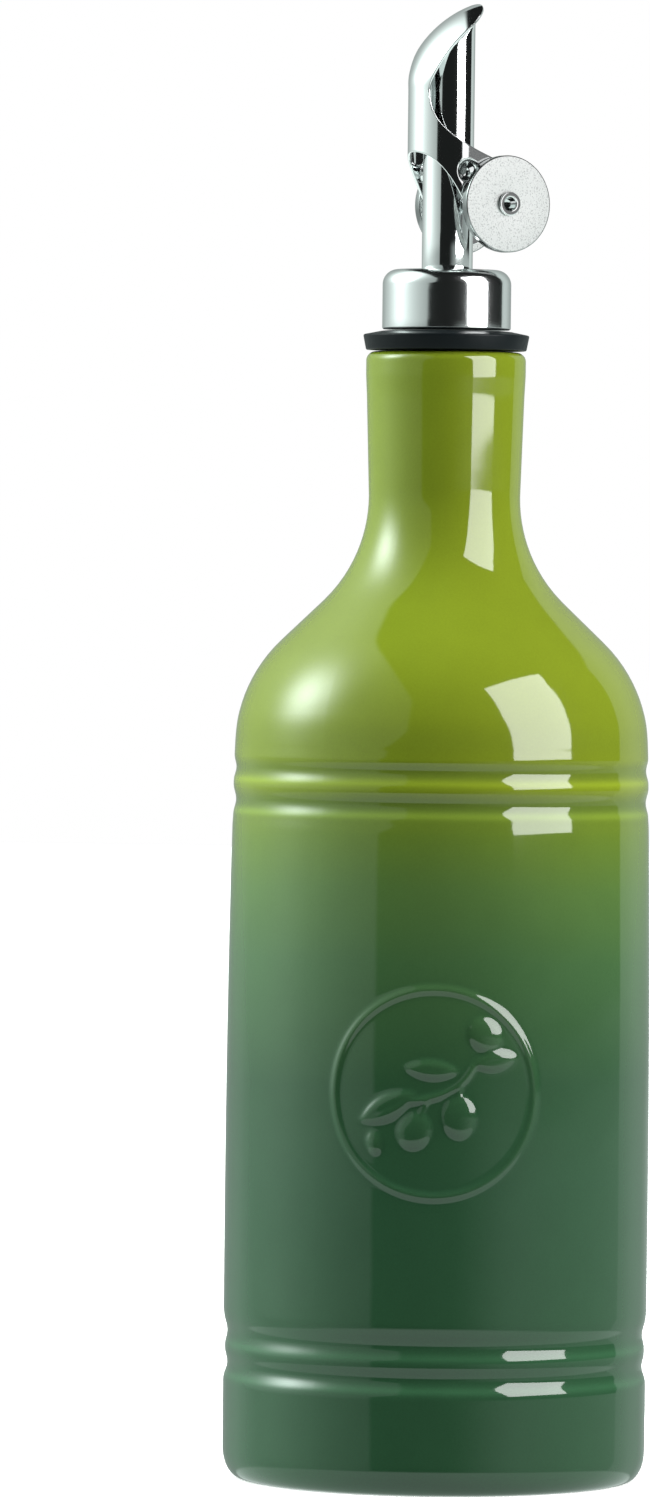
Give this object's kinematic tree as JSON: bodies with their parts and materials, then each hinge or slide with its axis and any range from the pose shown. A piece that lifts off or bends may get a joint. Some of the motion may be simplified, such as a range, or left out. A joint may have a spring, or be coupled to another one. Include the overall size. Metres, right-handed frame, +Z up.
{
  "type": "ceramic oil cruet",
  "caption": "Glazed ceramic oil cruet: a straight round bottle with grooves and a raised olive sprig, and a steel pourer whose weighted flap closes the spout.",
  "frame": {"origin": "middle of the foot, on the surface that the cruet stands on", "axes": "+Z up the bottle's axis, -Y out of the front, through the middle of the raised medallion"},
  "size_m": [0.084, 0.0847, 0.2927],
  "materials": {
    "green_glaze": "gloss glaze, lime green above running into dark green below",
    "black_rubber": "smooth",
    "satin_steel": "satin",
    "polished_steel": "polished",
    "blasted_steel": "bead blasted"
  },
  "bodies": {
    "bottle_and_spout": {"bottle": "green_glaze", "stopper_flange": "black_rubber", "collar": "satin_steel", "spout_tube": "polished_steel"},
    "flap": {"flap_hood": "polished_steel", "weight_front": "blasted_steel", "weight_back": "blasted_steel", "weight_rivet": "polished_steel"}
  },
  "joints": [
    {"name": "flap_hinge", "type": "hinge", "parent": "bottle_and_spout", "child": "flap", "pos_m": [0, 0, 0.2591], "axis": [0.515, -0.8572, 0], "range_deg": [0, 65]}
  ]
}
